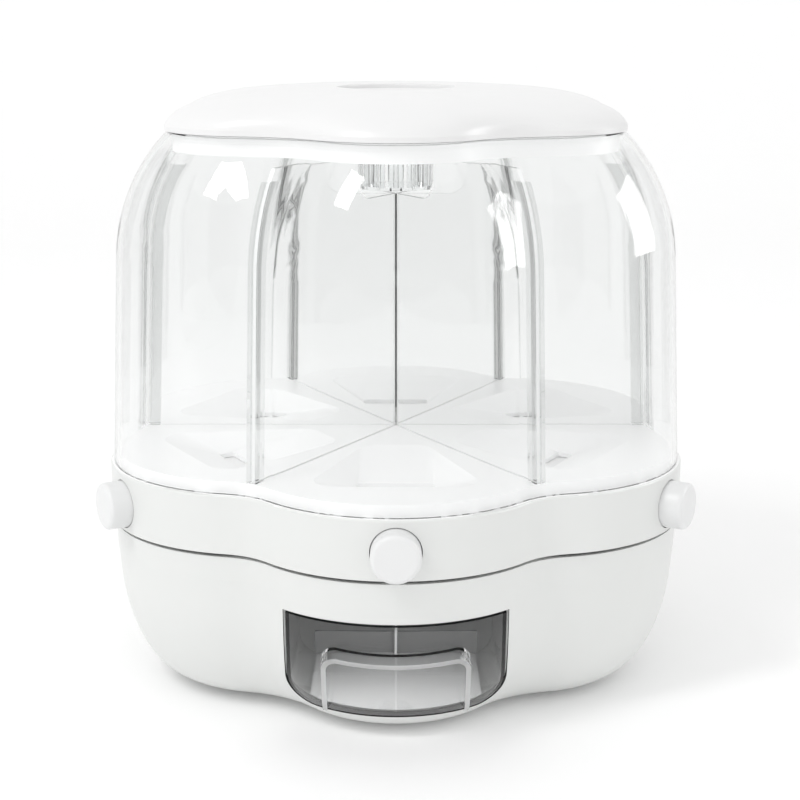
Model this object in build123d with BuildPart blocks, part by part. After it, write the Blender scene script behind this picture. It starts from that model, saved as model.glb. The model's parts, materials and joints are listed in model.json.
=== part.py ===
from build123d import *
from math import cos, hypot, radians, sin, sqrt, tan
import os

# Rotating grain dispenser. Millimetres, +Z up, origin at the bottom centre,
# with the drawer at the front, on -Y. A clear six-lobed bin turns on a base,
# and each compartment lets grain fall through its own push-button gate.

os.makedirs("parts", exist_ok=True)

# Shared clearances
overrun = 1.0  # cuts run this far past the faces that they open
slide_gap = 0.3  # play between pieces that slide, lift or turn on each other
seat_gap = 0.2  # play round a piece that is dropped into its seat
running_gap = 0.05  # radial play of a shaft in its bore

# Six-lobed outline that the collar, base, dome and lid share
lobe_count = 6
apex_r = 157.0  # from the axis to the crown of a lobe
lobe_r = 80.7
hollow_r = 38.3  # radius of the hollow between two lobes

# Base shell
foot_stand = 1.5  # the feet hold the base this far off the table
base_h = 83.5
base_wall = 3.0
base_top_inset = 1.5
base_draft = 4.7  # inward lean of the wall over the whole height
base_round_w = 38.3  # width and height of the round towards the bottom
base_round_h = 71.5
base_round_power = 2.43
base_round_shares = (0, 0.17, 0.34, 0.5, 0.66, 0.83, 1)
foot_r = 8.0
foot_h = 2.5
foot_circle_r = 88.0
post_r = 5.0
post_circle_r = 118.0

# Screws
screw_r = 1.5
screw_head_r = 3.0
screw_head_h = 1.8
screw_length = 12.0

# Drawer and its opening
drawer_open_w = 107.0
drawer_open_h = 53.0
drawer_open_low = 10.5  # above the underside of the base
drawer_corner_r = 16.0
drawer_gap = 1.3
drawer_wall = 2.5
drawer_back = 62.0  # the back of the drawer, in front of the axis
drawer_rib_w = 1.2
drawer_rib_h = 2.0
pull_w = 70.0
pull_top = 49.5  # above the underside of the base, at the pull's line
pull_line = 149.0  # from the axis
pull_low = 12.0
pull_corner_r = 8.0
pull_wall = 2.4
pull_droop = 17.0  # degrees
pull_reach = 9.0  # from the drawer's face to the pull's front edge
pull_tuck = 6.0  # the front edge draws in towards the bottom as if this much lower
bed_w = 84.0
bed_t = 2.0
bed_back = 50.0  # the bed's back and its ribs' front ends, in front of the axis
bed_front = 96.0
bed_wall_h = 14.0
bed_rib_x = 20.0

# Deck, chute and spindle
deck_drop = 5.0  # from the rim of the base to the top of the deck
deck_t = 3.5
chute_w = 42.0
chute_depth = 20.0
chute_mid = 91.0  # the outlets' and the chute's distance from the axis
chute_wall = 1.6
chute_flange = 3.0
chute_flange_t = 1.5
chute_drop = 11.0  # below the deck
spindle_r = 6.0
spindle_head_r = 10.0
spindle_head_h = 3.0
spindle_nose = 2.5  # spindle above its clip
clip_r = 9.5
clip_t = 1.2

# Ball ring
ball_r = 3.0
ball_count = 24
ball_circle_r = 64.0
ball_show = 4.1  # height between the two plates that the balls run in
ball_play = 0.25
cage_w = 11.0
cage_t = 2.4

# Gate carrier, the lower plate of the bin
carrier_r = 133.0
carrier_t = 3.7
hub_r = 12.0
hub_h = 11.4
throat_wall = 1.8
throat_margin = 1.5  # the throat is this much wider than the outlet above it
boss_circle_r = 112.0
boss_r = 4.5

# Collar
seam = 2.0  # gap between the base and the collar
collar_h = 29.2
collar_wall = 3.0
collar_edge_r = 1.2
ledge_t = 2.5
ledge_w = 12.0
collar_tab_w = 24.0
collar_tab_reach = 6.0
collar_tab_t = 2.0
sleeve_wall = 1.4
sleeve_length = 15.0

# Floor of the bin
floor_h = 5.8  # above the ledge of the collar
floor_plate = 2.5
floor_rim = 3.2
hopper_drop = 8.6
hopper_wall = 2.3
hopper_near = 44.0  # the hopper's inner and outer edges, from the axis
hopper_far = 122.0
hopper_near_half_w = 16.0
hopper_far_half_w = 44.0
hopper_corner_r = 12.0
outlet_w = 38.0
outlet_depth = 10.0
outlet_corner_r = 2.0
groove_depth = 1.0

# Gates, buttons and springs
gate_t = 2.0
gate_w = 46.0
gate_lap = 4.0  # plate left round the window and beyond the outlet
gate_stroke = 10.5
gate_tongue_w = 18.0
gate_lug_h = 3.0
rail_t = 2.0
rail_lip = 2.5
rail_lip_t = 2.0
button_r = 11.75
button_proud = 10.5
button_edge_r = 2.2
button_wall = 2.0
button_skin = 3.0
button_length = 36.5
button_gap = 0.45
button_drop = 15.7  # from the ledge of the collar down to the buttons' axis
peg_r = 3.5
peg_length = 16.0
spring_post_w = 16.0
spring_post_t = 3.5
spring_post_rise = 5.5  # above the buttons' axis
spring_wire_r = 0.6
spring_coil_r = 5.5
spring_turns = 9
spring_end_gap = 0.1

# Dome
dome_foot_inset = 1.6
dome_wall = 2.8
dome_lean = 2.6  # degrees
dome_straight_h = 105.0
shoulder_r = 92.0
mouth_lean = 45.0  # degrees
shoulder_shares = (0, 0.25, 0.5, 0.75, 1)

# Channels that hold the dividers' edges
channel_t = 1.5
channel_web = 1.0
channel_depth = 8.0
channel_top = 146.0  # above the dome's foot

# Dividers
divider_t = 2.2
divider_hub_r = 2.4
divider_h = 147.0
divider_gap = 2.5  # between the blades' edges and the dome
cup_bay_r = 38.5
cup_bay_drop = 21.5
cup_bay_corner_r = 10.0

# Lid
lid_inset = 32.0
lid_wall = 2.4
lid_rim_h = 2.5
lid_crown_h = 16.5
lid_power = 2.1
lid_flat_share = 0.43
lid_round_shares = (0, 0.24, 0.42, 0.58, 0.72, 0.86, 1)
recess_r = 30.0
recess_depth = 2.2
recess_edge_r = 0.8
liner_t = 2.0
liner_lift = 0.7  # liner above the lower edge of the lid
skirt_gap = 0.9  # between the skirt and the mouth of the dome
skirt_wall = 2.2
skirt_h = 11.0
seal_t = 2.5
seal_depth = 1.0
seal_lift = 5.5  # seal above the lower edge of the skirt
lid_post_r = 3.0
lid_post_circle_r = 70.0

# Desiccant cup
cup_r = 19.5
cup_wall = 1.5
cup_drop = 33.2  # below the liner
cup_rib_r = 1.3
cup_rib_count = 12
cup_rib_h = 23.0
cup_slot_w = 2.2
cup_slot_h = 16.0
cup_floor_t = 1.6
socket_wall = 2.0
socket_h = 8.0
socket_lip_t = 1.6
lug_w = 16.0
lug_t = 2.0
lug_reach = 1.1
cap_t = 1.5

# Heights and places that follow from the sizes above
lobe_step = 360 / lobe_count
half_step = lobe_step / 2
lobe_angles = [half_step + lobe_step * k for k in range(lobe_count)]
hollow_angles = [lobe_step * k for k in range(lobe_count)]
lobe_centre_r = apex_r - lobe_r
hollow_centre_r = lobe_centre_r * cos(radians(half_step)) + sqrt(
    (lobe_r + hollow_r) ** 2 - (lobe_centre_r * sin(radians(half_step))) ** 2
)
base_low = foot_stand
base_top = base_low + base_h
deck_top = base_top - deck_drop
deck_low = deck_top - deck_t
drawer_low = base_low + drawer_open_low
drawer_high = drawer_low + drawer_open_h
ball_z = deck_top + ball_show / 2
carrier_low = deck_top + ball_show
carrier_top = carrier_low + carrier_t
collar_low = base_top + seam
ledge_z = collar_low + collar_h
floor_z = ledge_z + floor_h
floor_under = floor_z - floor_plate
floor_inset = dome_foot_inset + dome_wall + floor_h * tan(radians(dome_lean)) + seat_gap
outlet_z = floor_z - hopper_drop
hopper_low = outlet_z - hopper_wall
gate_top = hopper_low - slide_gap
gate_low = gate_top - gate_t
outlet_near = chute_mid - outlet_depth / 2
outlet_far = chute_mid + outlet_depth / 2
button_z = ledge_z - button_drop
button_face = apex_r + button_proud
button_back = button_face - button_length
spring_seat = button_face - button_skin
spring_post_face = button_back - gate_stroke - peg_r + slide_gap
shoulder_z = ledge_z + dome_straight_h
shoulder_inset = dome_foot_inset + dome_straight_h * tan(radians(dome_lean))
dome_high = shoulder_z + shoulder_r * (sin(radians(mouth_lean)) - sin(radians(dome_lean)))
divider_low = floor_z - groove_depth
divider_high = divider_low + divider_h
cup_bay_z = divider_high - cup_bay_drop
lid_low = dome_high + slide_gap
lid_rim_z = lid_low + lid_rim_h
lid_top = lid_rim_z + lid_crown_h
liner_low = lid_low + liner_lift
skirt_low = liner_low - skirt_h
cup_top = liner_low - slide_gap
cup_low = cup_top - cup_drop


def polar(radius, angle, height=0):
    """Point at a radius, an angle in degrees and a height."""
    return Vector(radius * cos(radians(angle)), radius * sin(radians(angle)), height)


def radial_plane(angle, distance, height):
    """Upright plane that faces outwards along an angle, at a distance from the axis."""
    along = (-sin(radians(angle)), cos(radians(angle)), 0)
    return Plane(polar(distance, angle, height), x_dir=along, z_dir=polar(1, angle))


def lobe_plane(angle, height):
    """Level plane whose x runs outwards along an angle."""
    return Plane((0, 0, height), x_dir=polar(1, angle), z_dir=(0, 0, 1))


def lobed_outline(inset, size=1, roundness=0):
    """Face of six lobes with tangent hollows, moved inwards, scaled, and drawn towards a circle."""
    mean_r = (apex_r + hollow_centre_r - hollow_r) / 2 - inset

    def eased(point):
        round_point = point.normalized() * mean_r
        return (point * (1 - roundness) + round_point * roundness) * size

    with BuildLine() as outline:
        for angle in lobe_angles:
            centre = polar(lobe_centre_r, angle)
            to_hollow = polar(hollow_centre_r, angle + half_step) - centre
            end = centre + to_hollow * ((lobe_r - inset) / (lobe_r + hollow_r))
            to_last = polar(hollow_centre_r, angle - half_step) - centre
            start = centre + to_last * ((lobe_r - inset) / (lobe_r + hollow_r))
            crown = polar(apex_r - inset, angle)
            bottom = polar(hollow_centre_r - hollow_r - inset, angle + half_step)
            next_start = start.rotate(Axis.Z, lobe_step)
            ThreePointArc(eased(start), eased(crown), eased(end))
            ThreePointArc(eased(end), eased(bottom), eased(next_start))
    make_face(outline.edges())


def lobed_prism(inset, low, high, mode=Mode.ADD):
    """Upright prism of the lobed outline."""
    with BuildSketch(Plane.XY.offset(low)) as section:
        lobed_outline(inset)
    extrude(section.sketch, amount=high - low, mode=mode)


def disc(radius, low, high, mode=Mode.ADD):
    """Upright cylinder on the axis."""
    with BuildSketch(Plane.XY.offset(low)) as section:
        Circle(radius)
    extrude(section.sketch, amount=high - low, mode=mode)


def ring_of_discs(radius, circle_r, low, high, angles=hollow_angles, mode=Mode.ADD):
    """Upright cylinders on a circle about the axis."""
    with BuildSketch(Plane.XY.offset(low)) as section:
        with Locations([polar(circle_r, angle) for angle in angles]):
            Circle(radius)
    extrude(section.sketch, amount=high - low, mode=mode)


def bar(plane, near, far, width, height, mode=Mode.ADD):
    """Block from near to far along the plane's x, centred across it, and as high as given."""
    with BuildSketch(plane) as section:
        with Locations(((near + far) / 2, 0)):
            Rectangle(far - near, width)
    extrude(section.sketch, amount=height, mode=mode)


def lobed_form(straight, rounded):
    """Solid through lobed outlines, each a height and an outline: a straight wall and a round end."""
    with BuildPart() as form:
        for stretch, ruled in ((straight, True), (rounded, False)):
            sections = []
            for height, *outline in stretch:
                with BuildSketch(Plane.XY.offset(height)) as section:
                    lobed_outline(*outline)
                sections.append(section.sketch)
            loft(sections, ruled=ruled)
    return form.part


def base_form(depth, low, high):
    """Body of the base moved inwards by depth, from its top edge down round its bottom."""
    rounded = []
    for share in base_round_shares:
        turn = radians(90 * share)
        height = low + base_round_h * (1 - sin(turn) ** (2 / base_round_power))
        draft = base_draft * (base_top - height) / base_h
        rounding = base_round_w * (1 - cos(turn) ** (2 / base_round_power))
        rounded.append((height, base_top_inset + depth + draft + rounding))
    return lobed_form([(high, base_top_inset + depth), rounded[0]], rounded)


def drawer_outline(inset, high):
    """Front outline of the drawer: round bottom corners, and square ones at the top."""
    low = drawer_low + inset
    with Locations((0, (low + high) / 2)):
        Rectangle(drawer_open_w - 2 * inset, high - low)
    fillet(vertices().group_by(Axis.Y)[0], drawer_corner_r - inset)


def shoulder_sections(depth):
    """Heights and insets of the dome's shoulder, moved inwards by depth, up to its mouth."""
    lean = radians(dome_lean)
    sections = []
    for share in shoulder_shares:
        turn = lean + share * (radians(mouth_lean) - lean)
        height = shoulder_z + shoulder_r * (sin(turn) - sin(lean)) - depth * sin(turn)
        inset = shoulder_inset + shoulder_r * (cos(lean) - cos(turn)) + depth * cos(turn)
        sections.append((height, inset))
    return sections


def dome_form(depth):
    """Body under the dome's wall moved inwards by depth."""
    shoulder = shoulder_sections(depth)
    return lobed_form([(ledge_z, dome_foot_inset + depth), shoulder[0]], shoulder)


def lid_form(depth, low):
    """Crowned body of the lid moved inwards by depth: its lobes fade towards the flat top."""
    rounded = []
    for share in lid_round_shares:
        turn = radians(90 * share)
        rise = sin(turn) ** (2 / lid_power)
        size = lid_flat_share + (1 - lid_flat_share) * cos(turn) ** (2 / lid_power)
        height = lid_rim_z + (lid_crown_h - depth) * rise
        rounded.append((height, lid_inset + depth, size, share))
    return lobed_form([(low, lid_inset + depth), rounded[0]], rounded)


def hopper_outline(near, near_half_w, far, far_half_w, corner_r):
    """Four-sided outline with round corners, wider outwards."""
    Polygon(
        (near, -near_half_w),
        (far, -far_half_w),
        (far, far_half_w),
        (near, near_half_w),
        align=None,
    )
    fillet(vertices(), corner_r)


def hopper_loft(angle, margin, high, low, mode=Mode.ADD):
    """Shallow funnel from a compartment's floor to its outlet, grown by margin."""
    with BuildSketch(lobe_plane(angle, high)) as mouth:
        hopper_outline(
            hopper_near - margin,
            hopper_near_half_w + margin,
            hopper_far + margin,
            hopper_far_half_w + margin,
            hopper_corner_r,
        )
    with BuildSketch(lobe_plane(angle, low)) as outlet:
        hopper_outline(
            outlet_near - margin,
            outlet_w / 2 + margin,
            outlet_far + margin,
            outlet_w / 2 + margin,
            outlet_corner_r + margin,
        )
    loft([mouth.sketch, outlet.sketch], ruled=True, mode=mode)


base_outside = base_form(0, base_low, base_top)
base_inside = base_form(base_wall, base_low + base_wall, base_top + overrun)
dome_outside = dome_form(0)
dome_inside = dome_form(dome_wall)

# Base shell: a lobed tub with the drawer's opening and posts for the deck
with BuildPart() as base_shell:
    add(base_outside)
    add(base_inside, mode=Mode.SUBTRACT)
    ring_of_discs(post_r, post_circle_r, base_low, deck_low)
    add(base_outside, mode=Mode.INTERSECT)
    ring_of_discs(
        screw_r + running_gap, post_circle_r, deck_low - screw_length, deck_low, mode=Mode.SUBTRACT
    )
    with BuildSketch(Plane.XZ.offset(post_circle_r * cos(radians(half_step)) - post_r)):
        drawer_outline(0, drawer_high)
    extrude(amount=apex_r, mode=Mode.SUBTRACT)
    ring_of_discs(
        foot_r + seat_gap,
        foot_circle_r,
        base_low - overrun,
        foot_h,
        lobe_angles,
        Mode.SUBTRACT,
    )
base_shell.part.label = "base_shell"
export_step(base_shell.part, "parts/base_shell.step")

# Feet: rubber pads in recesses under the lobes
with BuildPart() as feet:
    ring_of_discs(foot_r, foot_circle_r, 0, foot_h, lobe_angles)
feet.part.label = "feet"
export_step(feet.part, "parts/feet.step")

# Bed: a plate on two ribs that carries the drawer, with a wall that stops it at the back
bed_top = drawer_low + drawer_gap - slide_gap
bed_stop = drawer_back - slide_gap
bed_limit = base_form(base_wall + slide_gap, base_low + base_wall, base_top)
with BuildPart() as drawer_bed:
    bar(lobe_plane(-90, bed_top - bed_t), bed_back, apex_r, bed_w, bed_t)
    add(bed_limit, mode=Mode.INTERSECT)
    bar(lobe_plane(-90, bed_top), bed_stop - bed_t, bed_stop, bed_w, bed_wall_h)
    for side in (-1, 1):
        rib_plane = Plane(
            (side * bed_rib_x, 0, base_low + base_wall), x_dir=(0, -1, 0), z_dir=(0, 0, 1)
        )
        bar(rib_plane, bed_back, bed_front, bed_t, bed_top - base_low - base_wall)
drawer_bed.part.label = "drawer_bed"
export_step(drawer_bed.part, "parts/drawer_bed.step")

# Deck: closes the base, carries the lower ball race, the spindle and the chute
with BuildPart() as base_deck:
    lobed_prism(base_top_inset + base_draft + base_wall, deck_low, deck_top)
    disc(spindle_r + running_gap, deck_low - overrun, deck_top + overrun, Mode.SUBTRACT)
    bar(
        lobe_plane(-90, deck_low - overrun),
        chute_mid - chute_depth / 2 - seat_gap,
        chute_mid + chute_depth / 2 + seat_gap,
        chute_w + 2 * seat_gap,
        deck_t + 2 * overrun,
        mode=Mode.SUBTRACT,
    )
    with BuildSketch(Plane.XZ):
        with Locations((ball_circle_r, ball_z)):
            Circle(ball_r + ball_play)
    revolve(axis=Axis.Z, mode=Mode.SUBTRACT)
    ring_of_discs(
        screw_r + seat_gap, post_circle_r, deck_low - overrun, deck_top, mode=Mode.SUBTRACT
    )
    ring_of_discs(
        screw_head_r + seat_gap,
        post_circle_r,
        deck_top - screw_head_h,
        deck_top + overrun,
        mode=Mode.SUBTRACT,
    )
base_deck.part.label = "base_deck"
export_step(base_deck.part, "parts/base_deck.step")


def screws(circle_r, head_low, head_high, tip):
    """Pan-head screws on a circle at the hollows, from their heads to their tips."""
    ring_of_discs(screw_head_r, circle_r, head_low, head_high)
    ring_of_discs(screw_r, circle_r, min(tip, head_low), max(tip, head_high))


with BuildPart() as deck_screws:
    screws(
        post_circle_r,
        deck_top - screw_head_h,
        deck_top,
        deck_low - screw_length + overrun,
    )
deck_screws.part.label = "deck_screws"
export_step(deck_screws.part, "parts/deck_screws.step")

# Chute: leads the grain from the deck down into the drawer
with BuildPart() as grain_chute:
    bar(
        lobe_plane(-90, deck_low - chute_drop),
        chute_mid - chute_depth / 2,
        chute_mid + chute_depth / 2,
        chute_w,
        chute_drop + deck_t,
    )
    bar(
        lobe_plane(-90, deck_top),
        chute_mid - chute_depth / 2 - chute_flange,
        chute_mid + chute_depth / 2 + chute_flange,
        chute_w + 2 * chute_flange,
        chute_flange_t,
    )
    bar(
        lobe_plane(-90, deck_low - chute_drop - overrun),
        chute_mid - chute_depth / 2 + chute_wall,
        chute_mid + chute_depth / 2 - chute_wall,
        chute_w - 2 * chute_wall,
        chute_drop + deck_t + chute_flange_t + 2 * overrun,
        mode=Mode.SUBTRACT,
    )
grain_chute.part.label = "grain_chute"
export_step(grain_chute.part, "parts/grain_chute.step")

# Spindle that the bin turns on, and the clip that keeps the bin down
hub_top = carrier_low + hub_h
clip_low = hub_top + slide_gap
with BuildPart() as spindle:
    disc(spindle_head_r, deck_low - spindle_head_h, deck_low)
    disc(spindle_r, deck_low, clip_low + clip_t + spindle_nose)
    chamfer(spindle.faces().sort_by(Axis.Z)[-1].edges(), clip_t)
spindle.part.label = "spindle"
export_step(spindle.part, "parts/spindle.step")

with BuildPart() as spindle_clip:
    disc(clip_r, clip_low, clip_low + clip_t)
    disc(spindle_r + running_gap, clip_low - overrun, clip_low + clip_t + overrun, Mode.SUBTRACT)
spindle_clip.part.label = "spindle_clip"
export_step(spindle_clip.part, "parts/spindle_clip.step")

# Ball ring: steel balls in a cage between the deck and the carrier
ball_angles = [360 / ball_count * k for k in range(ball_count)]
with BuildPart() as bearing_balls:
    with Locations([polar(ball_circle_r, angle, ball_z) for angle in ball_angles]):
        Sphere(ball_r)
bearing_balls.part.label = "bearing_balls"
export_step(bearing_balls.part, "parts/bearing_balls.step")

with BuildPart() as ball_cage:
    disc(ball_circle_r + cage_w / 2, ball_z - cage_t / 2, ball_z + cage_t / 2)
    disc(
        ball_circle_r - cage_w / 2,
        ball_z - cage_t / 2 - overrun,
        ball_z + cage_t / 2 + overrun,
        Mode.SUBTRACT,
    )
    ring_of_discs(
        ball_r + seat_gap,
        ball_circle_r,
        ball_z - cage_t / 2 - overrun,
        ball_z + cage_t / 2 + overrun,
        ball_angles,
        Mode.SUBTRACT,
    )
ball_cage.part.label = "ball_cage"
export_step(ball_cage.part, "parts/ball_cage.step")

# Gate carrier: turntable plate with the hub, the throats and the springs' posts
with BuildPart() as gate_carrier:
    disc(carrier_r, carrier_low, carrier_top)
    disc(hub_r, carrier_low, hub_top)
    for angle in lobe_angles:
        bar(
            lobe_plane(angle, carrier_top),
            outlet_near - throat_margin - throat_wall,
            outlet_far + throat_margin + throat_wall,
            outlet_w + 2 * (throat_margin + throat_wall),
            gate_low - rail_lip_t - 2 * slide_gap - carrier_top,
        )
        bar(
            lobe_plane(angle, carrier_top),
            spring_post_face - spring_post_t,
            spring_post_face,
            spring_post_w,
            button_z + spring_post_rise - carrier_top,
        )
        with BuildSketch(radial_plane(angle, spring_post_face, button_z)):
            Circle(peg_r)
        extrude(amount=peg_length)
    for angle in lobe_angles:
        bar(
            lobe_plane(angle, carrier_low - overrun),
            outlet_near - throat_margin,
            outlet_far + throat_margin,
            outlet_w + 2 * throat_margin,
            gate_top - carrier_low,
            mode=Mode.SUBTRACT,
        )
    disc(spindle_r + running_gap, carrier_low - overrun, hub_top + overrun, Mode.SUBTRACT)
    with BuildSketch(Plane.XZ):
        with Locations((ball_circle_r, ball_z)):
            Circle(ball_r + ball_play)
    revolve(axis=Axis.Z, mode=Mode.SUBTRACT)
    ring_of_discs(
        screw_r + seat_gap, boss_circle_r, carrier_low - overrun, carrier_top, mode=Mode.SUBTRACT
    )
    ring_of_discs(
        screw_head_r + seat_gap,
        boss_circle_r,
        carrier_low - overrun,
        carrier_low + screw_head_h,
        mode=Mode.SUBTRACT,
    )
gate_carrier.part.label = "gate_carrier"
export_step(gate_carrier.part, "parts/gate_carrier.step")

with BuildPart() as carrier_screws:
    screws(
        boss_circle_r,
        carrier_low,
        carrier_low + screw_head_h,
        carrier_top + screw_length - overrun,
    )
carrier_screws.part.label = "carrier_screws"
export_step(carrier_screws.part, "parts/carrier_screws.step")

# Collar: the white band with the buttons' sleeves and the ledge for floor and dome
with BuildPart() as collar:
    lobed_prism(0, collar_low, ledge_z)
    fillet(collar.faces().sort_by(Axis.Z)[-1].edges(), collar_edge_r)
    lobed_prism(collar_wall, collar_low - overrun, ledge_z - ledge_t, Mode.SUBTRACT)
    lobed_prism(ledge_w, collar_low, ledge_z + overrun, Mode.SUBTRACT)
    for angle in hollow_angles:
        tab_far = hollow_centre_r - hollow_r - collar_wall / 2
        bar(
            lobe_plane(angle, carrier_top),
            tab_far - collar_wall / 2 - collar_tab_reach,
            tab_far,
            collar_tab_w,
            collar_tab_t,
        )
    for angle in lobe_angles:
        with BuildSketch(radial_plane(angle, apex_r - collar_wall / 2, button_z)):
            Circle(button_r + button_gap + sleeve_wall)
        extrude(amount=-sleeve_length)
    for angle in lobe_angles:
        with BuildSketch(radial_plane(angle, apex_r + overrun, button_z)):
            Circle(button_r + button_gap)
        extrude(amount=-sleeve_length - collar_wall - 2 * overrun, mode=Mode.SUBTRACT)
collar.part.label = "collar"
export_step(collar.part, "parts/collar.step")

# Floor: one shallow hopper for each compartment, with the gates' rails beneath
with BuildPart() as bin_floor:
    lobed_prism(floor_inset, ledge_z, floor_z)
    lobed_prism(floor_inset + floor_rim, ledge_z - overrun, floor_under, Mode.SUBTRACT)
    rail_near = outlet_near - gate_lap - gate_stroke - slide_gap
    rail_far = outlet_far + outlet_depth + gate_lap
    for angle in lobe_angles:
        hopper_loft(angle, hopper_wall, floor_under, hopper_low)
        for side in (-1, 1):
            web_mid = side * (gate_w / 2 + slide_gap + rail_t / 2)
            web_plane = lobe_plane(angle, gate_low - slide_gap - rail_lip_t)
            with BuildSketch(web_plane):
                with Locations(((rail_near + rail_far) / 2, web_mid)):
                    Rectangle(rail_far - rail_near, rail_t)
            extrude(amount=floor_under - gate_low + slide_gap + rail_lip_t)
            with BuildSketch(web_plane):
                with Locations(((rail_near + rail_far) / 2, web_mid - side * rail_lip / 2)):
                    Rectangle(rail_far - rail_near, rail_t + rail_lip)
            extrude(amount=rail_lip_t)
    ring_of_discs(boss_r, boss_circle_r, carrier_top, floor_under)
    for angle in lobe_angles:
        hopper_loft(angle, 0, floor_z, outlet_z, Mode.SUBTRACT)
        with BuildSketch(lobe_plane(angle, outlet_z)):
            hopper_outline(outlet_near, outlet_w / 2, outlet_far, outlet_w / 2, outlet_corner_r)
        extrude(amount=-hopper_wall - overrun, mode=Mode.SUBTRACT)
    ring_of_discs(
        screw_r + running_gap, boss_circle_r, carrier_top, carrier_top + screw_length, mode=Mode.SUBTRACT
    )
    groove_r = hollow_centre_r - hollow_r - floor_inset - floor_rim / 2
    for angle in hollow_angles[: lobe_count // 2]:
        bar(
            lobe_plane(angle, divider_low),
            -groove_r,
            groove_r,
            divider_t + 2 * seat_gap,
            groove_depth + overrun,
            mode=Mode.SUBTRACT,
        )
bin_floor.part.label = "bin_floor"
export_step(bin_floor.part, "parts/bin_floor.step")

# Dome: clear lobed wall with a rounded shoulder
mouth_z, mouth_inset = shoulder_sections(dome_wall)[-1]
with BuildPart() as dome:
    add(dome_outside)
    add(dome_inside, mode=Mode.SUBTRACT)
    lobed_prism(mouth_inset, mouth_z, dome_high + overrun, Mode.SUBTRACT)
dome.part.label = "dome"
export_step(dome.part, "parts/dome.step")

# Channels: clear strips up the hollows of the dome that the dividers' edges slide into
channel_outside = dome_form(dome_wall + seat_gap)
channel_floor = dome_form(dome_wall + seat_gap + channel_web)
channel_inside = dome_form(dome_wall + channel_depth)
slot_w = divider_t + 2 * seat_gap
with BuildPart() as channel_slots:
    for angle in hollow_angles:
        bar(lobe_plane(angle, floor_z), 0, apex_r, slot_w, channel_top)
    add(channel_floor, mode=Mode.INTERSECT)

with BuildPart() as divider_channels:
    for angle in hollow_angles:
        channel_plane = lobe_plane(angle, floor_z + slide_gap)
        bar(channel_plane, 0, apex_r, slot_w + 2 * channel_t, channel_top - floor_h - slide_gap)
    add(channel_outside, mode=Mode.INTERSECT)
    add(channel_inside, mode=Mode.SUBTRACT)
    add(channel_slots.part, mode=Mode.SUBTRACT)
divider_channels.part.label = "divider_channels"
export_step(divider_channels.part, "parts/divider_channels.step")

# Dividers: a clear star of six blades, cut back in the middle for the desiccant cup
divider_space = dome_form(dome_wall + divider_gap)
with BuildPart() as cup_bay:
    disc(cup_bay_r, cup_bay_z, divider_high + overrun)
    fillet(cup_bay.faces().sort_by(Axis.Z)[0].edges(), cup_bay_corner_r)

with BuildPart() as dividers:
    with BuildSketch(Plane.XY.offset(divider_low)):
        for angle in hollow_angles[: lobe_count // 2]:
            Rectangle(2 * apex_r, divider_t, rotation=angle)
        Circle(divider_hub_r)
    extrude(amount=divider_h)
    add(divider_space, mode=Mode.INTERSECT)
    add(cup_bay.part, mode=Mode.SUBTRACT)
dividers.part.label = "dividers"
export_step(dividers.part, "parts/dividers.step")

# Buttons, gates and springs, one set for each compartment
spring_start = spring_post_face + spring_wire_r + spring_end_gap
spring_end = spring_seat - spring_wire_r - spring_end_gap
pitch = (spring_end - spring_start) / spring_turns
print("spring gap between turns", round(pitch - 2 * spring_wire_r, 3))
for number, angle in enumerate(lobe_angles, start=1):
    outwards = Axis((0, 0, 0), tuple(polar(1, angle)))
    with BuildPart() as button:
        with BuildSketch(radial_plane(angle, button_back, button_z)):
            Circle(button_r)
        extrude(amount=button_length)
        fillet(button.faces().sort_by(outwards)[-1].edges(), button_edge_r)
        with BuildSketch(radial_plane(angle, button_back, button_z)):
            Circle(button_r - button_wall)
        extrude(amount=button_length - button_skin, mode=Mode.SUBTRACT)
    button.part.label = f"button_{number}"
    export_step(button.part, f"parts/button_{number}.step")

    with BuildPart() as gate:
        plate_plane = lobe_plane(angle, gate_low)
        plate_far = outlet_far + outlet_depth + gate_lap
        bar(plate_plane, outlet_near - gate_lap, plate_far, gate_w, gate_t)
        bar(plate_plane, plate_far, button_back, gate_tongue_w, gate_t)
        bar(
            lobe_plane(angle, gate_top - gate_lug_h),
            button_back - gate_lug_h,
            button_back,
            gate_tongue_w,
            gate_lug_h,
        )
        with BuildSketch(plate_plane):
            hopper_outline(
                outlet_near + gate_stroke,
                outlet_w / 2,
                outlet_far + gate_stroke,
                outlet_w / 2,
                outlet_corner_r,
            )
        extrude(amount=gate_t, mode=Mode.SUBTRACT)
    gate.part.label = f"gate_{number}"
    export_step(gate.part, f"parts/gate_{number}.step")

    with BuildPart() as spring:
        coil_plane = radial_plane(angle, spring_start, button_z)
        with BuildLine(coil_plane) as coil:
            for half_turn in range(2 * spring_turns):
                side = 1 if half_turn % 2 == 0 else -1
                rise = pitch / 2 * half_turn
                ThreePointArc(
                    (side * spring_coil_r, 0, rise),
                    (0, side * hypot(spring_coil_r, pitch / 4), rise + pitch / 4),
                    (-side * spring_coil_r, 0, rise + pitch / 2),
                )
        with BuildSketch(Plane(coil.line @ 0, z_dir=coil.line % 0)):
            Circle(spring_wire_r)
        sweep()
    spring.part.label = f"spring_{number}"
    export_step(spring.part, f"parts/spring_{number}.step")

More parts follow.
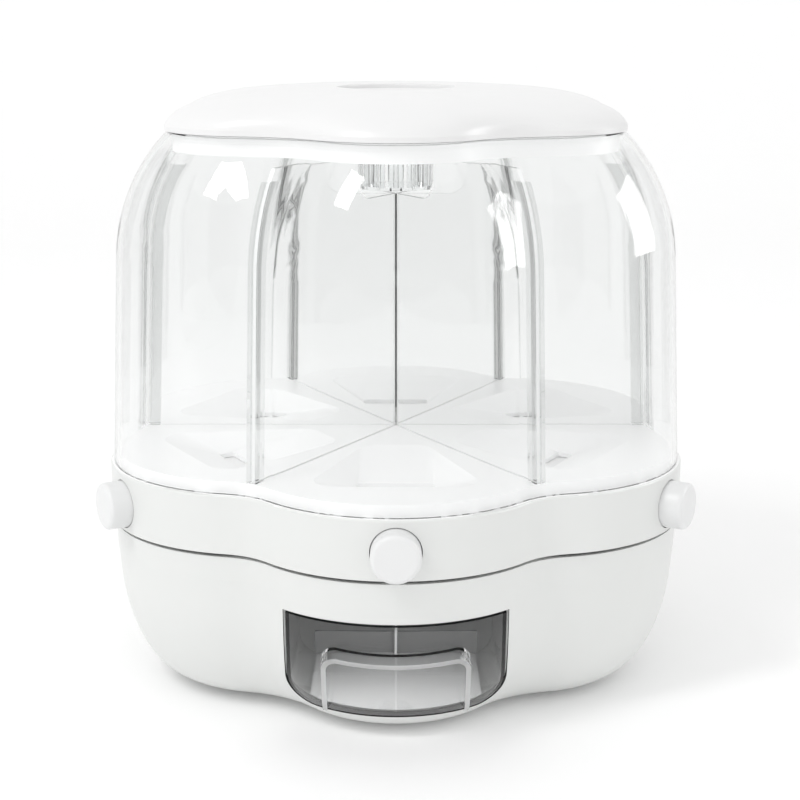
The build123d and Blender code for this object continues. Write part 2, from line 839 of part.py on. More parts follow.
# Drawer: a clear trough whose front follows the base, with a hooded pull
pull_root = base_form(drawer_wall / 2, base_low, base_top)
pull_limit = base_form(-pull_reach, base_low + pull_tuck, base_top)
drawer_face_inside = base_form(drawer_wall, base_low, base_top)
pull_lean = radians(pull_droop)
pull_plane = Plane(
    (0, -pull_line, base_low + pull_top),
    x_dir=(1, 0, 0),
    z_dir=(0, -cos(pull_lean), -sin(pull_lean)),
)
with BuildPart() as pull:
    with BuildSketch(pull_plane):
        with Locations((0, -pull_top / 2)):
            Rectangle(pull_w, pull_top)
        fillet(vertices().group_by(Axis.Y)[-1], pull_corner_r)
    extrude(amount=lobe_r / 2, both=True)
    with BuildSketch(pull_plane):
        with Locations((0, -pull_top / 2 - pull_wall)):
            Rectangle(pull_w - 2 * pull_wall, pull_top)
        fillet(vertices().group_by(Axis.Y)[-1], pull_corner_r - pull_wall)
    extrude(amount=lobe_r / 2, both=True, mode=Mode.SUBTRACT)
    add(pull_limit, mode=Mode.INTERSECT)
    split(bisect_by=Plane.XY.offset(base_low + pull_low), keep=Keep.TOP)
    add(pull_root, mode=Mode.SUBTRACT)

with BuildPart() as drawer_hollow:
    with BuildSketch(Plane.XZ.offset(drawer_back + drawer_wall)):
        drawer_outline(drawer_gap + drawer_wall, drawer_high)
    extrude(amount=apex_r)
    add(drawer_face_inside, mode=Mode.INTERSECT)

with BuildPart() as drawer:
    with BuildSketch(Plane.XZ.offset(drawer_back)):
        drawer_outline(drawer_gap, drawer_high - drawer_gap)
    extrude(amount=apex_r)
    add(base_outside, mode=Mode.INTERSECT)
    add(drawer_hollow.part, mode=Mode.SUBTRACT)
    bar(
        lobe_plane(-90, drawer_low + drawer_gap + drawer_wall),
        drawer_back + drawer_wall,
        drawer_back + drawer_wall + drawer_rib_h,
        drawer_rib_w,
        drawer_open_h - 2 * drawer_gap - drawer_wall,
    )
    add(pull.part)
drawer.part.label = "drawer"
export_step(drawer.part, "parts/drawer.step")

# Lid: crowned cover with a round recess, a liner with its skirt, and a seal
lid_outside = lid_form(0, lid_low)
lid_inside = lid_form(lid_wall, lid_low - overrun)
with BuildPart() as lid_shell:
    add(lid_outside)
    add(lid_inside, mode=Mode.SUBTRACT)
    disc(recess_r + lid_wall, lid_top - recess_depth - lid_wall, lid_top)
    disc(recess_r, lid_top - recess_depth, lid_top + overrun, Mode.SUBTRACT)
    recess_edges = lid_shell.edges().filter_by(GeomType.CIRCLE)
    fillet(recess_edges.filter_by_position(Axis.Z, lid_top - slide_gap, lid_top + slide_gap), recess_edge_r)
    ring_of_discs(lid_post_r, lid_post_circle_r, liner_low + liner_t, lid_top)
    add(lid_outside, mode=Mode.INTERSECT)
lid_shell.part.label = "lid_shell"
export_step(lid_shell.part, "parts/lid_shell.step")

skirt_inset = mouth_inset + skirt_gap
socket_r = cup_r + lug_reach + slide_gap
with BuildPart() as lid_liner:
    lobed_prism(lid_inset + lid_wall + slide_gap, liner_low, liner_low + liner_t)
    lobed_prism(skirt_inset, skirt_low, liner_low)
    lobed_prism(skirt_inset + skirt_wall, skirt_low - overrun, liner_low, Mode.SUBTRACT)
    with BuildSketch(Plane.XY.offset(skirt_low + seal_lift)):
        lobed_outline(skirt_inset - overrun)
        with BuildSketch(mode=Mode.SUBTRACT):
            lobed_outline(skirt_inset + seal_depth)
    extrude(amount=seal_t, mode=Mode.SUBTRACT)
    disc(socket_r + socket_wall, liner_low - socket_h, liner_low)
    disc(socket_r, liner_low - socket_h + socket_lip_t, liner_low, Mode.SUBTRACT)
    disc(cup_r + slide_gap, liner_low - socket_h - overrun, liner_low, Mode.SUBTRACT)
    with BuildSketch(Plane.XY.offset(liner_low - socket_h - overrun)):
        Rectangle(2 * socket_r, lug_w + 2 * overrun)
    extrude(amount=socket_lip_t + overrun, mode=Mode.SUBTRACT)
lid_liner.part.label = "lid_liner"
export_step(lid_liner.part, "parts/lid_liner.step")

with BuildPart() as lid_seal:
    seal_low = skirt_low + seal_lift + running_gap
    lobed_prism(skirt_inset - skirt_gap / 2, seal_low, seal_low + seal_t - 2 * running_gap)
    lobed_prism(
        skirt_inset + seal_depth - running_gap,
        seal_low - overrun,
        seal_low + seal_t + overrun,
        Mode.SUBTRACT,
    )
lid_seal.part.label = "lid_seal"
export_step(lid_seal.part, "parts/lid_seal.step")

# Desiccant cup: a clear ribbed cup that twists into the liner's socket, and its cap
cup_rib_angles = [360 / cup_rib_count * k for k in range(cup_rib_count)]
with BuildPart() as desiccant_cup:
    disc(cup_r, cup_low, cup_top)
    ring_of_discs(cup_rib_r, cup_r, cup_low, cup_low + cup_rib_h, cup_rib_angles)
    lug_low = liner_low - socket_h + socket_lip_t + slide_gap
    with BuildSketch(Plane.XY.offset(lug_low)):
        Circle(cup_r + lug_reach)
        Rectangle(lug_w, 2 * socket_r, mode=Mode.INTERSECT)
    extrude(amount=lug_t)
    disc(cup_r - cup_wall, cup_low + cup_floor_t, cup_top + overrun, Mode.SUBTRACT)
    for angle in cup_rib_angles[: cup_rib_count // 2]:
        bar(
            lobe_plane(angle + 180 / cup_rib_count, cup_low + cup_floor_t),
            -cup_r - overrun,
            cup_r + overrun,
            cup_slot_w,
            cup_slot_h,
            mode=Mode.SUBTRACT,
        )
desiccant_cup.part.label = "desiccant_cup"
export_step(desiccant_cup.part, "parts/desiccant_cup.step")

with BuildPart() as desiccant_cap:
    disc(cup_r - cup_wall - seat_gap, cup_top - cap_t, cup_top)
desiccant_cap.part.label = "desiccant_cap"
export_step(desiccant_cap.part, "parts/desiccant_cap.step")
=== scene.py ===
# %% [markdown]
# # A rotating grain dispenser, dressed for a studio photograph
# The dispenser comes from CAD as a frame of separate solids: a white base with a clear drawer, a collar
# with push-buttons, a clear six-lobed bin with dividers, and a white lid. Their shapes are right already,
# so this lesson is about finishes, light and the camera. We load the frame first. Nothing that we add may
# make the object larger.

# %% Load the imported frame
import json
from math import cos, pi, radians, sin

import bpy
import numpy as np
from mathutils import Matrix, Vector


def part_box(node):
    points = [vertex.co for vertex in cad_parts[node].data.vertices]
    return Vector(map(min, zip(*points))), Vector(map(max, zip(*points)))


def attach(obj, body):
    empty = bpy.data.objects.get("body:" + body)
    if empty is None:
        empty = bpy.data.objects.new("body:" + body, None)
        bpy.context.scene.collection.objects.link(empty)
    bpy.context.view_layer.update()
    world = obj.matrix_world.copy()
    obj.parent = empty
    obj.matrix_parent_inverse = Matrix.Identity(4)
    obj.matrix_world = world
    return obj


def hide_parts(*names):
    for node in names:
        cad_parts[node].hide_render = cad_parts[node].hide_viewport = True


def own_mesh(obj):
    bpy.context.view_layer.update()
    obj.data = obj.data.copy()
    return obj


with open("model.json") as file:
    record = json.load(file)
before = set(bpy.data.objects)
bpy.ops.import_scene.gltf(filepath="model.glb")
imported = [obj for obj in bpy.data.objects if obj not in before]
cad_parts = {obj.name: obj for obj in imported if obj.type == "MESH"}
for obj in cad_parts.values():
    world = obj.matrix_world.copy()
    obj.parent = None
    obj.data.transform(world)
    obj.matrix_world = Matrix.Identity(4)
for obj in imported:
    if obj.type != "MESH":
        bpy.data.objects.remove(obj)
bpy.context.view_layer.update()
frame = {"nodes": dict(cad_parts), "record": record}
nodes = frame["nodes"]

# %% [markdown]
# ## Where the camera stands
# The photograph looks at the dispenser from a little above, with the front button in the middle. Its
# distance and lens were solved from the lobes' outline, so the camera is set once, here, and every
# other choice is judged through it. Depth of field stays off, because other views move this camera.

# %% Camera
camera_data = bpy.data.cameras.new("photo_camera")
camera = bpy.data.objects.new("photo_camera", camera_data)
bpy.context.scene.collection.objects.link(camera)
camera_data.sensor_width = 36.0
camera_data.lens = 76.87
camera_data.shift_x = 0.0051
camera_data.clip_start, camera_data.clip_end = 0.05, 20.0
aim_point = Vector((0.0, 0.0, 0.1351))
camera.location = (0.0, -0.8948, 0.3456)
camera.rotation_euler = (aim_point - camera.location).to_track_quat("-Z", "Y").to_euler()
bpy.context.scene.camera = camera
print("camera to aim point: %.3f m" % (aim_point - camera.location).length)

# %% [markdown]
# ## The room: a pale floor that sweeps up behind
# A product photographer stands the object on a sheet of pale paper that curves up behind it, so that
# no horizon shows. The sweep is one profile, floor then quarter circle then wall, carried across. It
# is stage, not part of the object.

# %% Floor sweep
def sweep_grid(half_width, front, back, bend, height, steps=24):
    """Grid of points: a floor from y=-front to y=back, a quarter circle of radius bend, and a wall up to
    height. The profile runs along y and z, and each of its points is repeated across x."""
    turn = np.linspace(0.0, pi / 2, steps)
    y = np.concatenate(([-front], back + bend * np.sin(turn), [back + bend]))
    z = np.concatenate(([0.0], bend * (1.0 - np.cos(turn)), [height]))
    x = np.linspace(-half_width, half_width, 3)
    return np.stack(np.broadcast_arrays(x[:, None], y[None, :], z[None, :]), axis=-1)


def corner_numbers(grid):
    """The number of each point of a grid, counted row after row."""
    return np.arange(grid.shape[0] * grid.shape[1]).reshape(grid.shape[:2])


def new_piece(name, grid, faces):
    """Smooth object that has a grid's points, and faces that name those points by number."""
    mesh = bpy.data.meshes.new(name)
    mesh.from_pydata(grid.reshape(-1, 3).tolist(), [], faces)
    mesh.shade_smooth()
    piece = bpy.data.objects.new(name, mesh)
    bpy.context.scene.collection.objects.link(piece)
    return piece


def mesh_from_grid(name, grid):
    """Sheet whose quads join neighbours of a grid of points, rows by columns."""
    corner = corner_numbers(grid)
    quads = np.stack((corner[:-1, :-1], corner[1:, :-1], corner[1:, 1:], corner[:-1, 1:]), axis=-1)
    return new_piece(name, grid, quads.reshape(-1, 4).tolist())


sweep = sweep_grid(half_width=12.0, front=12.0, back=1.6, bend=0.8, height=5.0)
floor = mesh_from_grid("studio_sweep", sweep)
print("sweep faces:", len(floor.data.polygons))

# %% [markdown]
# ## Finishes
# Almost everything is moulded plastic, and moulded plastic is never one flat value. Its gloss wavers a
# little where the mould was polished, and its skin has a faint waviness that bends reflections. Both
# come from noise on Object coordinates, a few millimetres across, so that they stay put on each piece.

# %% A helper for moulded plastic
def new_material(name):
    """Node material with a Principled shader on its output: the material, its tree and the shader."""
    material = bpy.data.materials.new(name)
    material.use_nodes = True
    tree = material.node_tree
    tree.nodes.clear()
    output = tree.nodes.new("ShaderNodeOutputMaterial")
    shader = tree.nodes.new("ShaderNodeBsdfPrincipled")
    tree.links.new(shader.outputs["BSDF"], output.inputs["Surface"])
    return material, tree, shader


def noise(tree, size_m, detail=3.0):
    """Noise whose spots are about size_m across, on the piece's own coordinates."""
    place = tree.nodes.new("ShaderNodeTexCoord")
    spots = tree.nodes.new("ShaderNodeTexNoise")
    spots.inputs["Scale"].default_value = 1.0 / size_m
    spots.inputs["Detail"].default_value = detail
    tree.links.new(place.outputs["Object"], spots.inputs["Vector"])
    return spots.outputs["Fac"]


def ranged(tree, value, low, high):
    """The value, spread from low to high."""
    spread = tree.nodes.new("ShaderNodeMapRange")
    spread.inputs["To Min"].default_value = low
    spread.inputs["To Max"].default_value = high
    tree.links.new(value, spread.inputs["Value"])
    return spread.outputs["Result"]


mottle_m, mottle_share = 0.02, 0.985  # size of the spots of colour, and the share that the darker ones keep
gloss_m, gloss_sway = 0.012, 0.15  # size of the spots of gloss, and how far they sway either way
skin_strength, plastic_ior = 0.15, 1.5


def moulded_plastic(name, colour, rough, skin_m=0.006, skin_depth=0.00002):
    """Moulded plastic: a colour that wavers by a hundredth or two, gloss that wavers round rough, and a
    faint waviness of skin_depth over spots of skin_m."""
    material, tree, shader = new_material(name)
    mottle = tree.nodes.new("ShaderNodeMix")
    mottle.data_type = "RGBA"
    mottle.inputs["A"].default_value = (*[mottle_share * c for c in colour], 1.0)
    mottle.inputs["B"].default_value = (*colour, 1.0)
    tree.links.new(noise(tree, mottle_m), mottle.inputs["Factor"])
    tree.links.new(mottle.outputs["Result"], shader.inputs["Base Color"])
    gloss = ranged(tree, noise(tree, gloss_m), (1.0 - gloss_sway) * rough, (1.0 + gloss_sway) * rough)
    tree.links.new(gloss, shader.inputs["Roughness"])
    bump = tree.nodes.new("ShaderNodeBump")
    bump.inputs["Strength"].default_value = skin_strength
    bump.inputs["Distance"].default_value = skin_depth
    tree.links.new(noise(tree, skin_m), bump.inputs["Height"])
    tree.links.new(bump.outputs["Normal"], shader.inputs["Normal"])
    shader.inputs["IOR"].default_value = plastic_ior
    return material


white_shell = moulded_plastic("white_shell", (0.745, 0.755, 0.742), 0.34)
white_lid = moulded_plastic("white_lid", (0.78, 0.78, 0.78), 0.30)
# white_floor is a whiter copy of the white plastic. It is painted light that makes up for the shade the lid
# casts inside the bin.
white_floor = moulded_plastic("white_floor", (0.975, 0.978, 0.978), 0.36)
white_button = moulded_plastic("white_button", (0.77, 0.775, 0.775), 0.36)
white_inner = moulded_plastic("white_inner", (0.9, 0.9, 0.9), 0.5)
cage_plastic = moulded_plastic("cage_plastic", (0.72, 0.72, 0.70), 0.5)
foot_rubber = moulded_plastic("foot_rubber", (0.55, 0.55, 0.55), 0.75, 0.0015, 0.0001)
seal_silicone = moulded_plastic("seal_silicone", (0.96, 0.965, 0.965), 0.5, 0.002, 0.00004)

# %% [markdown]
# ## Clear plastic
# The bin, its dividers and the drawer are clear styrene. A ray from the camera is bent and mirrored by
# the shader as in glass. Light on its way to the floor inside would need many lucky bounces through
# bent walls, so for shadow and diffuse rays the wall is simply transparent: the inside is lit evenly.

# %% Clear plastic
def clear_plastic(name, tint, rough, ior, passed):
    """Glass for the eye and for mirrors, and a thin tint for the light that passes to the inside. Its
    roughness wavers from half of rough to one and a half times rough."""
    material, tree, shader = new_material(name)
    shader.inputs["Base Color"].default_value = (*tint, 1.0)
    shader.inputs["Transmission Weight"].default_value = 1.0
    shader.inputs["IOR"].default_value = ior
    gloss = ranged(tree, noise(tree, 0.015), 0.5 * rough, 1.5 * rough)
    tree.links.new(gloss, shader.inputs["Roughness"])
    window = tree.nodes.new("ShaderNodeBsdfTransparent")
    window.inputs["Color"].default_value = (*passed, 1.0)
    ray = tree.nodes.new("ShaderNodeLightPath")
    either = tree.nodes.new("ShaderNodeMath")
    either.operation = "MAXIMUM"
    tree.links.new(ray.outputs["Is Shadow Ray"], either.inputs[0])
    tree.links.new(ray.outputs["Is Diffuse Ray"], either.inputs[1])
    choice = tree.nodes.new("ShaderNodeMixShader")
    tree.links.new(either.outputs["Value"], choice.inputs["Fac"])
    tree.links.new(shader.outputs["BSDF"], choice.inputs[1])
    tree.links.new(window.outputs["BSDF"], choice.inputs[2])
    tree.links.new(choice.outputs["Shader"], tree.nodes["Material Output"].inputs["Surface"])
    return material


clear_dome = clear_plastic("clear_dome", (0.95, 0.955, 0.953), 0.01, 1.45, (0.99, 0.99, 0.99))
clear_divider = clear_plastic("clear_divider", (0.996, 0.998, 0.997), 0.015, 1.3, (0.99, 0.99, 0.99))
clear_channel = clear_plastic("clear_channel", (0.91, 0.915, 0.913), 0.015, 1.08, (0.99, 0.99, 0.99))
clear_cup = clear_plastic("clear_cup", (0.97, 0.98, 0.98), 0.02, 1.45, (0.95, 0.95, 0.95))
clear_drawer = clear_plastic("clear_drawer", (0.935, 0.94, 0.94), 0.015, 1.4, (0.98, 0.98, 0.98))

# %% [markdown]
# ## Steel
# The balls, springs, screws, clip and spindle are bright steel. They are hidden at rest, but show when
# the drawer is out or the model is taken apart. Handled steel is never evenly bright, so its gloss
# wavers in spots of about two millimetres.

# %% Bright steel
steel, steel_tree, steel_shader = new_material("steel")
steel_shader.inputs["Base Color"].default_value = (0.62, 0.62, 0.63, 1.0)
steel_shader.inputs["Metallic"].default_value = 1.0
steel_gloss = ranged(steel_tree, noise(steel_tree, 0.002), 0.18, 0.34)
steel_tree.links.new(steel_gloss, steel_shader.inputs["Roughness"])

# %% Dress every node by its slot in the record
finishes = {
    "white_shell": white_shell, "white_lid": white_lid, "white_floor": white_floor,
    "white_button": white_button, "white_inner": white_inner, "cage_plastic": cage_plastic,
    "foot_rubber": foot_rubber, "clear_dome": clear_dome, "clear_divider": clear_divider,
    "clear_cup": clear_cup, "clear_drawer": clear_drawer, "seal_silicone": seal_silicone,
    "steel": steel,
}
for subpart in frame["record"]["subparts"]:
    mesh = nodes[subpart["node"]].data
    mesh.materials.clear()
    mesh.materials.append(finishes[subpart["material_slot"]])
nodes["divider_channels"].data.materials[0] = clear_channel

# %% [markdown]
# ## Paper
# The sheet under the object is matt and nearly white. In a studio some light comes through it from
# behind, and a little emission stands for that.

# %% Studio paper
paper, paper_tree, paper_shader = new_material("studio_paper")
paper_shader.inputs["Base Color"].default_value = (0.93, 0.93, 0.93, 1.0)
paper_gloss = ranged(paper_tree, noise(paper_tree, 0.01), 0.8, 0.95)
paper_tree.links.new(paper_gloss, paper_shader.inputs["Roughness"])
paper_shader.inputs["Emission Color"].default_value = (1.0, 1.0, 1.0, 1.0)
paper_shader.inputs["Emission Strength"].default_value = 0.05
floor.data.materials.append(paper)
print("paper on:", floor.name)

# %% [markdown]
# ## Ground edges
# Where clear plastic is cut, its edge is ground, not polished: the rim of the bin, the edges of the
# dividers and the front of the drawer's pull. A polished edge would mirror the dark inside of the wall,
# while a ground one scatters light and shows as a line. Each edge is a few faces of a CAD node, so those
# faces take a second material, and no shape is touched.

# %% Ground edges of the clear pieces
def faces_of(node):
    """Centres and normals of a node's faces, as arrays of rows."""
    faces = nodes[node].data.polygons
    centres, normals = np.empty(len(faces) * 3), np.empty(len(faces) * 3)
    faces.foreach_get("center", centres)
    faces.foreach_get("normal", normals)
    return centres.reshape(-1, 3), normals.reshape(-1, 3)


def dress_faces(node, material, chosen):
    """Gives the chosen faces of a node another material than the rest."""
    mesh = nodes[node].data
    mesh.materials.append(material)
    index = np.zeros(len(mesh.polygons), dtype=np.int32)
    mesh.polygons.foreach_get("material_index", index)
    index[chosen] = len(mesh.materials) - 1
    mesh.polygons.foreach_set("material_index", index)
    print(node, "faces with", material.name, ":", int(np.count_nonzero(chosen)))


ground_edge = moulded_plastic("ground_edge", (0.95, 0.955, 0.955), 0.6, 0.001, 0.00003)
# Painted shade: the blades' edges by the cup take a dark tint that stands for the dark lines those clear
# edges show.
blade_edge_painted_shade = clear_plastic("blade_edge_painted_shade", (0.4, 0.405, 0.405), 0.1, 1.3, (0.95, 0.95, 0.95))

hair, tiny = 0.0002, 1e-6  # faces within a hair of a height lie on it; tiny keeps a divisor from being 0
cup_reach, cup_depth = 0.041, 0.023  # the notch for the cup: out from the axis, and down from the top
ends_from = 0.06  # the outer ends of the blades lie further than this from the axis

centres, _ = faces_of("dome")
dress_faces("dome", ground_edge, np.abs(centres[:, 2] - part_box("dome")[1].z) < hair)

centres, normals = faces_of("dividers")
from_axis = np.linalg.norm(centres[:, :2], axis=1)
# The sine between a normal and the way out from the axis: 1 on a blade's broad sides, 0 on its ends
turned = np.abs(centres[:, 0] * normals[:, 1] - centres[:, 1] * normals[:, 0])
on_edge = turned / np.maximum(from_axis, tiny) < 0.3
upright = np.abs(normals[:, 2]) < 0.8
by_the_cup = (from_axis < cup_reach) & (centres[:, 2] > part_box("dividers")[1].z - cup_depth)
dress_faces("dividers", blade_edge_painted_shade, by_the_cup & on_edge)
dress_faces("dividers", ground_edge, (from_axis > ends_from) & on_edge & upright)

# %% [markdown]
# The pull's front edge stands a few millimetres in front of the drawer's face. Both follow the front
# lobe, a circle whose radius shrinks towards the bottom, so the distance from that circle tells the
# edge's faces from the face's own. A thin rib at the back of the drawer is ground too.

# %% The front of the pull
lobe_centre_y, lobe_r = -0.0763, 0.0807  # the front lobe's circle, before the wall draws in
wall_top, wall_h = 0.085, 0.0835
top_inset, wall_lean = 0.0015, 0.0047  # drawn in at the top, and how much more by the bottom
round_top, round_h, round_in, round_power = 0.073, 0.0715, 0.0383, 2.43


def base_inset(height):
    """How far the base's wall has drawn in at a height: a lean, and a round towards the bottom that is a
    quarter of a super-ellipse."""
    lean = top_inset + wall_lean * (wall_top - height) / wall_h
    depth = np.clip((round_top - height) / round_h, 0.0, 1.0)
    return lean + round_in * (1.0 - (1.0 - depth**round_power) ** (1 / round_power))


pull_lead = 0.0035  # the pull's front is further than this from the drawer's face
rib_half, rib_from = 0.0009, -0.07  # half of the rib's thickness, and the y that it lies behind
level = 0.9  # a normal with this much z is that of a level face
centres, normals = faces_of("drawer")
drawer_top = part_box("drawer")[1].z
from_lobe = centres[:, :2] - np.array((0.0, lobe_centre_y))
distance = np.linalg.norm(from_lobe, axis=1)
faces_out = np.sum(normals[:, :2] * from_lobe, axis=1) / np.maximum(distance, tiny) > 0.6
in_front = distance > lobe_r - base_inset(centres[:, 2]) + pull_lead
on_top = (centres[:, 2] > drawer_top - hair) & (normals[:, 2] > level)
on_rib = (np.abs(centres[:, 0]) < rib_half) & (centres[:, 1] > rib_from) & ~on_top
dress_faces("drawer", ground_edge, on_rib)
pull_rim = clear_plastic("pull_rim", (0.93, 0.935, 0.935), 0.4, 1.4, (0.95, 0.95, 0.95))
pull_rim.node_tree.nodes["Principled BSDF"].inputs["Transmission Weight"].default_value = 0.65
dress_faces("drawer", pull_rim, faces_out & in_front)

# %% [markdown]
# A thin black line runs all round the drawer: the shade in the gap round it. It is painted shade, a
# near-black finish on the faces of the opening and on the drawer's top edge. The opening is a rectangle
# with two round corners at the bottom, cut straight through the wall, so its faces are the ones that lie on
# that outline.

# %% Painted shade round the drawer's opening
half_width, opening_low, opening_high, corner_r = 0.0535, 0.012, 0.065, 0.016
near, front_y = 0.0003, -0.1  # faces this near to the outline, and in front of this y, are the opening's
centres, normals = faces_of("base_shell")
side, height = np.abs(centres[:, 0]), centres[:, 2]
from_corner = np.hypot(side - half_width + corner_r, opening_low + corner_r - height)
in_corner = (side > half_width - corner_r) & (height < opening_low + corner_r)
to_low_or_high = np.minimum(height - opening_low, opening_high - height)
to_edge = np.minimum(half_width - side, to_low_or_high)
to_outline = np.where(in_corner, corner_r - from_corner, to_edge)
straight_through = np.abs(normals[:, 1]) < 0.05
on_outline = (np.abs(to_outline) < near) & straight_through & (centres[:, 1] < front_y)
# Painted shade: a near-black finish on the opening's faces and on the drawer's top edge stands for the
# shade in the gap round the drawer.
gap_painted_shade = moulded_plastic("gap_painted_shade", (0.015, 0.015, 0.015), 0.7, 0.001, 0.00003)
dress_faces("base_shell", gap_painted_shade, on_outline)
dress_faces("drawer", gap_painted_shade, on_top)

# %% [markdown]
# Inside, where nobody looks, the base takes a grey finish that is painted shade. Seen through the clear
# drawer, it stands for the shade behind and above the drawer. The wall that stops the drawer at the back
# gets a darker painted shade. The ledge that carries the bin is the opposite: its narrow top takes the
# whitest finish, a painted light that makes it the whitest line on the object.

# %% Painted shade inside the base, and painted light on the collar's ledge
# Painted shade: grey on the inside of the base, behind and above the drawer's front, where shade falls.
inside_painted_shade = moulded_plastic("inside_painted_shade", (0.55, 0.555, 0.55), 0.7, 0.002, 0.00005)
centres, normals = faces_of("base_shell")
towards_axis = np.sum(centres[:, :2] * normals[:, :2], axis=1) < 0.0
white_y, white_z = -0.09, 0.04  # in front of this y and below this height the inside stays white
behind_or_high = (centres[:, 1] > white_y) | (centres[:, 2] > white_z)
dress_faces("base_shell", inside_painted_shade, towards_axis & behind_or_high & ~on_outline)
# Painted shade: dark grey on the stop wall at the back of the drawer's bed, where shade falls.
stop_wall_painted_shade = moulded_plastic("stop_wall_painted_shade", (0.24, 0.24, 0.24), 0.7, 0.002, 0.00005)
stop_from = 0.0135  # the bed's plate lies below this height, and its stop wall above
centres, _ = faces_of("drawer_bed")
dress_faces("drawer_bed", stop_wall_painted_shade, centres[:, 2] > stop_from)
# Painted light: the ledge's top takes the whiter floor finish, so it shows brighter than the collar's
# plastic.
centres, normals = faces_of("collar")
ledge_painted_light = (normals[:, 2] > level) & (centres[:, 2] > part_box("collar")[1].z - near)
dress_faces("collar", white_floor, ledge_painted_light)

# %% [markdown]
# The dividers meet in a thin stem. Seen from outside, so many clear faces meet there that it reads as one
# dark upright line. A smoky tint on the stem's faces paints that line in as painted shade.

# %% The stem of the dividers
stem_painted_shade = clear_plastic("stem_painted_shade", (0.25, 0.255, 0.255), 0.05, 1.3, (0.9, 0.9, 0.9))
stem_r = 0.0026
centres, _ = faces_of("dividers")
on_stem = np.linalg.norm(centres[:, :2], axis=1) < stem_r
dress_faces("dividers", stem_painted_shade, on_stem)

# %% [markdown]
# ## Coil springs
# Behind each button a coil spring pushes it out. A solid spring would stay long while the button sinks, and
# the button would cut through it. Here each coil is made again as a wire carried along a helix, and it is
# hung on the bin.

# %% Coil springs
def coil_grid(coil_r, wire_r, length, turns, steps=24, sides=10):
    """Grid of points on a wire wound round the x axis, path by ring. The wire's middle goes round a circle
    of coil_r while x grows evenly to length, and each ring of wire_r stands across its path."""
    turn = np.linspace(0.0, 2 * pi * turns, steps * turns + 1)
    outward = np.stack((0 * turn, np.cos(turn), np.sin(turn)), axis=-1)
    middle = coil_r * outward
    middle[:, 0] = length * turn / turn[-1]
    path = np.gradient(middle, axis=0)
    path /= np.linalg.norm(path, axis=1, keepdims=True)
    ring = np.linspace(0.0, 2 * pi, sides, endpoint=False)[None, :, None]
    sideways = np.cross(path, outward)
    return middle[:, None] + wire_r * (np.cos(ring) * outward[:, None] + np.sin(ring) * sideways[:, None])


def wire_mesh(name, grid):
    """Closed tube over a grid of rings: quads join each ring to the next, and flat faces shut the ends."""
    corner = corner_numbers(grid)
    beside = np.roll(corner, -1, axis=1)
    quads = np.stack((corner[:-1], beside[:-1], beside[1:], corner[1:]), axis=-1).reshape(-1, 4)
    ends = [corner[0, ::-1].tolist(), corner[-1].tolist()]
    return new_piece(name, grid, quads.tolist() + ends)


coil_r, wire_r, coil_turns = 0.0055, 0.0006, 9
coil_start, coil_length, coil_z = 0.1180, 0.0458, 0.1005  # from the axis, along it, and the buttons' height
button_stroke, button_count = 0.0105, 6
lobe_step = 360.0 / button_count
coil = coil_grid(coil_r, wire_r, coil_length, coil_turns)
for number in range(1, button_count + 1):
    angle = radians(lobe_step * (number - 0.5))
    outwards = np.array((cos(angle), sin(angle), 0.0))
    axes = np.stack((outwards, (-sin(angle), cos(angle), 0.0), (0.0, 0.0, 1.0)))
    seat = outwards * coil_start + np.array((0.0, 0.0, coil_z))
    spring = wire_mesh("coil_spring_%d" % number, coil @ axes + seat)
    spring.data.materials.append(steel)
    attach(spring, "bin")
    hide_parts("spring_%d" % number)
    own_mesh(spring)

# %% [markdown]
# ## Light
# The photograph is nearly shadowless: white light from all round, a little more from the left, and
# bright soft panels on both sides that show as slanted white patches on the lobes' shoulders. The world
# gives the even light, a little dimmer overhead, and rectangular lamps give the panels.

# %% World
sky_strength, overhead_tone = 1.04, 0.88
world = bpy.data.worlds.new("studio_world")
bpy.context.scene.world = world
world.use_nodes = True
world_tree = world.node_tree
sky = world_tree.nodes["Background"]
sky.inputs["Strength"].default_value = sky_strength
sky_place = world_tree.nodes.new("ShaderNodeTexCoord")
sky_height = world_tree.nodes.new("ShaderNodeSeparateXYZ")
sky_tone = world_tree.nodes.new("ShaderNodeValToRGB")
sky_tone.color_ramp.elements[0].position = 0.25
sky_tone.color_ramp.elements[0].color = (1.0, 1.0, 1.0, 1.0)
sky_tone.color_ramp.elements[1].position = 0.95
sky_tone.color_ramp.elements[1].color = (overhead_tone, overhead_tone, overhead_tone, 1.0)
world_tree.links.new(sky_place.outputs["Generated"], sky_height.inputs["Vector"])
world_tree.links.new(sky_height.outputs["Z"], sky_tone.inputs["Fac"])
world_tree.links.new(sky_tone.outputs["Color"], sky.inputs["Color"])
print("sky strength:", sky_strength)

# %% Soft panels
shoulders, panel_distance = (0.0, -0.05, 0.25), 1.6


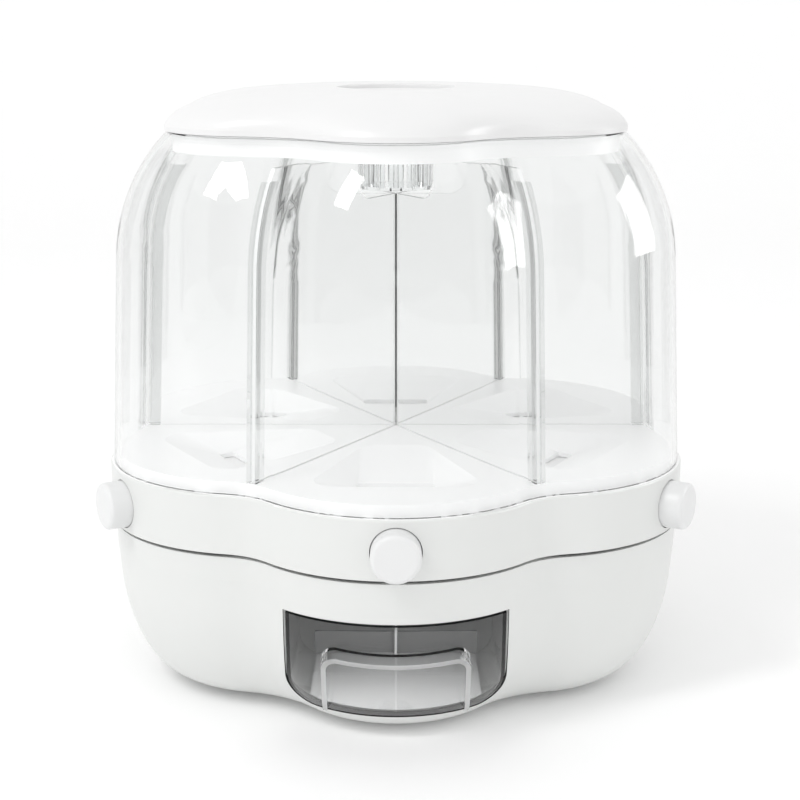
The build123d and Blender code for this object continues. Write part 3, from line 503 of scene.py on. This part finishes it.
def soft_panel(name, place, aim, width, height, power):
    """Rectangular lamp at a place, facing a point."""
    lamp_data = bpy.data.lights.new(name, "AREA")
    lamp_data.shape = "RECTANGLE"
    lamp_data.size, lamp_data.size_y = width, height
    lamp_data.energy = power
    lamp = bpy.data.objects.new(name, lamp_data)
    bpy.context.scene.collection.objects.link(lamp)
    lamp.location = place
    lamp.rotation_euler = (Vector(aim) - lamp.location).to_track_quat("-Z", "Y").to_euler()
    return lamp


def round_the_bin(azimuth, elevation, distance):
    """Point at a distance from the shoulders of the bin. Azimuth 0 is in front, and 90 is on the right."""
    a, e = radians(azimuth), radians(elevation)
    return Vector((sin(a) * cos(e), -cos(a) * cos(e), sin(e))) * distance + Vector(shoulders)


left_place = round_the_bin(-50.5, 47.0, panel_distance)
right_place = round_the_bin(97.0, 13.0, panel_distance)
soft_panel("panel_left", left_place, shoulders, width=0.32, height=0.60, power=6.4)
right_panel = soft_panel("panel_right", right_place, shoulders, width=0.66, height=0.84, power=8.0)
right_panel.visible_diffuse = False  # it shows in gloss, and does not light the right side
print("panels stand %.1f m from the bin's shoulders" % panel_distance)

# %% [markdown]
# White plastic lets some light through its walls, so the space behind the drawer is not black. Making
# every wall let light through would be slow and noisy. A small lamp under the deck stands for that
# light. It can't be seen itself, and it lights the base, the drawer and its bed alone, not the paper.

# %% Glow behind the drawer
under_deck, bed_front = (0.0, -0.122, 0.0725), (0.0, -0.112, 0.01)
deck_glow = soft_panel("deck_glow", under_deck, bed_front, width=0.10, height=0.018, power=0.011)
deck_glow.data.spread = radians(95.0)
deck_glow.visible_camera = deck_glow.visible_glossy = deck_glow.visible_transmission = False
behind_drawer = bpy.data.collections.new("behind_drawer")
for node in ("drawer_bed", "drawer", "base_shell"):
    behind_drawer.objects.link(nodes[node])
deck_glow.light_linking.receiver_collection = behind_drawer

# %% [markdown]
# ## Tones
# The Standard view shows tones as they are. A film-like view would turn the whites grey.

# %% View
bpy.context.scene.view_settings.view_transform = "Standard"
bpy.context.scene.view_settings.look = "None"
print("view:", bpy.context.scene.view_settings.view_transform)
